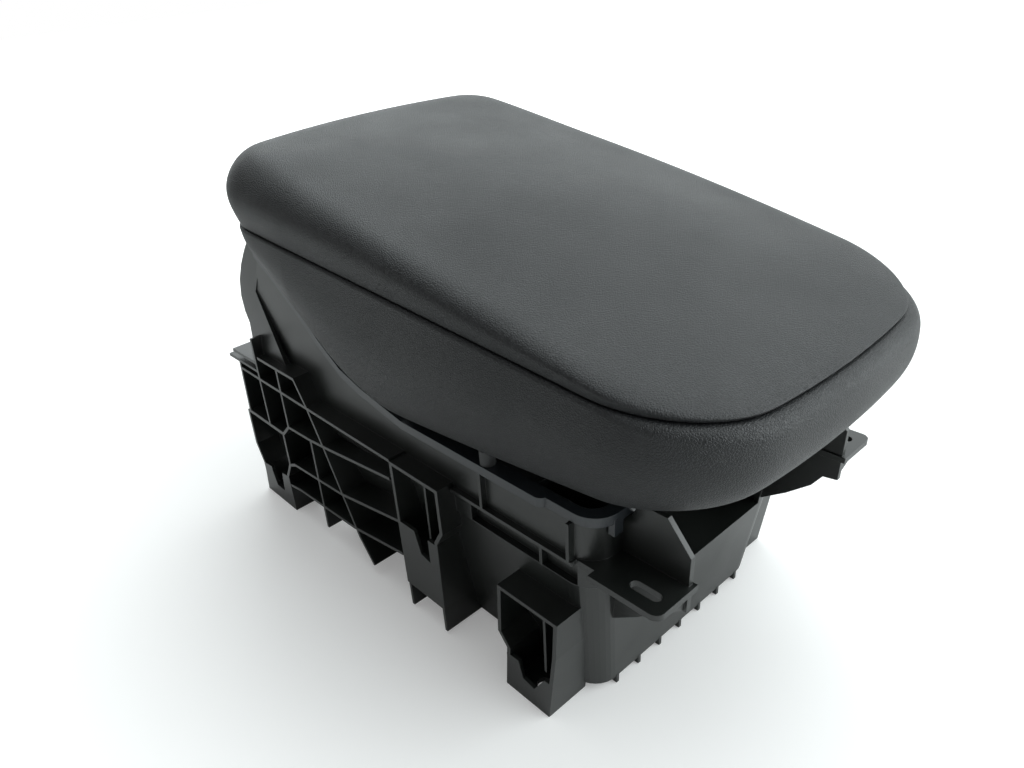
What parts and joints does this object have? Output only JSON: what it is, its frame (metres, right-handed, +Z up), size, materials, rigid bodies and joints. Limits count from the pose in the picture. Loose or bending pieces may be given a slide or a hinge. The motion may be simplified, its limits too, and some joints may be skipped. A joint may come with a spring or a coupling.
{
  "type": "car centre armrest with storage bin",
  "caption": "Padded leather armrest lid hinged at the rear of a ribbed black plastic storage bin with hollow mounting feet and slotted front wings.",
  "frame": {"origin": "middle of the whole object's plan, at the level of the soles of its feet", "axes": "+X along the length towards the lid's nose, +Y to the left of someone facing the nose, +Z up"},
  "size_m": [0.3372, 0.189, 0.2295],
  "materials": {
    "black_plastic": "fine spark-eroded black moulding",
    "satin_plastic": "satin dark grey moulding",
    "core_plastic": "plain black glass-filled moulding",
    "arm_plastic": "satin black glass-filled moulding",
    "bush_plastic": "natural acetal",
    "leather": "fine-grained black leather",
    "foam": "open-cell cushion foam",
    "mat_rubber": "matte",
    "stop_rubber": "matte",
    "pin_steel": "ground",
    "spring_steel": "zinc plated",
    "screw_steel": "zinc plated"
  },
  "bodies": {
    "bin": {"bin_housing": "black_plastic", "rim_frame": "satin_plastic", "rim_clips": "spring_steel", "bin_mat": "mat_rubber", "hinge_pin": "pin_steel", "pin_clips": "spring_steel"},
    "lid": {"lid_core": "core_plastic", "lid_foam": "foam", "lid_top_cover": "leather", "lid_side_cover": "leather", "lid_inner_panel": "black_plastic", "panel_screws": "screw_steel", "hinge_arm_left": "arm_plastic", "hinge_arm_right": "arm_plastic", "hinge_bush_left": "bush_plastic", "hinge_bush_right": "bush_plastic", "arm_screws_left": "screw_steel", "arm_screws_right": "screw_steel", "bump_stop_left": "stop_rubber", "bump_stop_right": "stop_rubber"}
  },
  "joints": [
    {"name": "lid_hinge", "type": "hinge", "parent": "bin", "child": "lid", "pos_m": [-0.14859, 0, 0.132], "axis": [0, -1, 0], "range_deg": [0, 95]}
  ]
}
